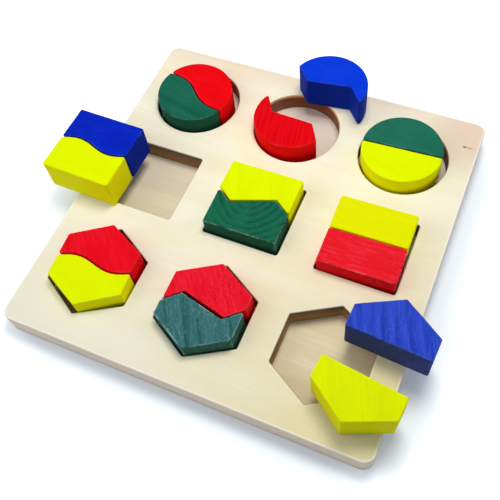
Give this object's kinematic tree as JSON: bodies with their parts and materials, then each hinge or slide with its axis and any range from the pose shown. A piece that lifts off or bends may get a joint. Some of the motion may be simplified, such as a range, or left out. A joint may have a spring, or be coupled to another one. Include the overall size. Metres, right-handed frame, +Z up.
{
  "type": "shape puzzle board",
  "caption": "Wooden puzzle board with round, square and hexagonal cut-outs, and painted blocks that are split by a wavy, zigzag or straight cut and lift out.",
  "frame": {"origin": "middle of the board's underside, on the surface it lies on", "axes": "+X along the front edge to the right, +Y from the front edge to the back, +Z up, the way the blocks lift out"},
  "size_m": [0.2569, 0.2345, 0.0376],
  "materials": {
    "base_wood": "bare thin plywood, smooth",
    "panel_wood": "pale wood with a clear satin coat",
    "red_paint": "red paint on wood, satin",
    "green_paint": "dark green paint on wood, satin, worn at the edges",
    "yellow_paint": "lemon yellow paint on wood, satin",
    "blue_paint": "blue stain on wood, satin, grain shows"
  },
  "bodies": {
    "board": {"base_panel": "base_wood", "top_panel": "panel_wood"},
    "circle_wave_red": {"circle_wave_red": "red_paint"},
    "circle_wave_green": {"circle_wave_green": "green_paint"},
    "circle_zigzag_blue": {"circle_zigzag_blue": "blue_paint"},
    "circle_zigzag_red": {"circle_zigzag_red": "red_paint"},
    "circle_straight_green": {"circle_straight_green": "green_paint"},
    "circle_straight_yellow": {"circle_straight_yellow": "yellow_paint"},
    "square_wave_blue": {"square_wave_blue": "blue_paint"},
    "square_wave_yellow": {"square_wave_yellow": "yellow_paint"},
    "square_zigzag_yellow": {"square_zigzag_yellow": "yellow_paint"},
    "square_zigzag_green": {"square_zigzag_green": "green_paint"},
    "square_straight_yellow": {"square_straight_yellow": "yellow_paint"},
    "square_straight_red": {"square_straight_red": "red_paint"},
    "hexagon_wave_red": {"hexagon_wave_red": "red_paint"},
    "hexagon_wave_yellow": {"hexagon_wave_yellow": "yellow_paint"},
    "hexagon_zigzag_red": {"hexagon_zigzag_red": "red_paint"},
    "hexagon_zigzag_green": {"hexagon_zigzag_green": "green_paint"},
    "hexagon_straight_blue": {"hexagon_straight_blue": "blue_paint"},
    "hexagon_straight_yellow": {"hexagon_straight_yellow": "yellow_paint"}
  },
  "joints": [
    {"name": "lift_circle_wave_red", "type": "slide", "parent": "board", "child": "circle_wave_red", "axis": [0, 0, 1], "range_m": [0, 0.06]},
    {"name": "lift_circle_wave_green", "type": "slide", "parent": "board", "child": "circle_wave_green", "axis": [0, 0, 1], "range_m": [0, 0.06]},
    {"name": "lift_circle_zigzag_blue", "type": "slide", "parent": "board", "child": "circle_zigzag_blue", "axis": [0, 0, 1], "range_m": [0, 0.06]},
    {"name": "lift_circle_zigzag_red", "type": "slide", "parent": "board", "child": "circle_zigzag_red", "axis": [0, 0, 1], "range_m": [0, 0.06]},
    {"name": "lift_circle_straight_green", "type": "slide", "parent": "board", "child": "circle_straight_green", "axis": [0, 0, 1], "range_m": [0, 0.06]},
    {"name": "lift_circle_straight_yellow", "type": "slide", "parent": "board", "child": "circle_straight_yellow", "axis": [0, 0, 1], "range_m": [0, 0.06]},
    {"name": "lift_square_wave_blue", "type": "slide", "parent": "board", "child": "square_wave_blue", "axis": [0, 0, 1], "range_m": [0, 0.06]},
    {"name": "lift_square_wave_yellow", "type": "slide", "parent": "board", "child": "square_wave_yellow", "axis": [0, 0, 1], "range_m": [0, 0.06]},
    {"name": "lift_square_zigzag_yellow", "type": "slide", "parent": "board", "child": "square_zigzag_yellow", "axis": [0, 0, 1], "range_m": [0, 0.06]},
    {"name": "lift_square_zigzag_green", "type": "slide", "parent": "board", "child": "square_zigzag_green", "axis": [0, 0, 1], "range_m": [0, 0.06]},
    {"name": "lift_square_straight_yellow", "type": "slide", "parent": "board", "child": "square_straight_yellow", "axis": [0, 0, 1], "range_m": [0, 0.06]},
    {"name": "lift_square_straight_red", "type": "slide", "parent": "board", "child": "square_straight_red", "axis": [0, 0, 1], "range_m": [0, 0.06]},
    {"name": "lift_hexagon_wave_red", "type": "slide", "parent": "board", "child": "hexagon_wave_red", "axis": [0, 0, 1], "range_m": [0, 0.06]},
    {"name": "lift_hexagon_wave_yellow", "type": "slide", "parent": "board", "child": "hexagon_wave_yellow", "axis": [0, 0, 1], "range_m": [0, 0.06]},
    {"name": "lift_hexagon_zigzag_red", "type": "slide", "parent": "board", "child": "hexagon_zigzag_red", "axis": [0, 0, 1], "range_m": [0, 0.06]},
    {"name": "lift_hexagon_zigzag_green", "type": "slide", "parent": "board", "child": "hexagon_zigzag_green", "axis": [0, 0, 1], "range_m": [0, 0.06]},
    {"name": "lift_hexagon_straight_blue", "type": "slide", "parent": "board", "child": "hexagon_straight_blue", "axis": [0, 0, 1], "range_m": [0, 0.06]},
    {"name": "lift_hexagon_straight_yellow", "type": "slide", "parent": "board", "child": "hexagon_straight_yellow", "axis": [0, 0, 1], "range_m": [0, 0.06]}
  ]
}
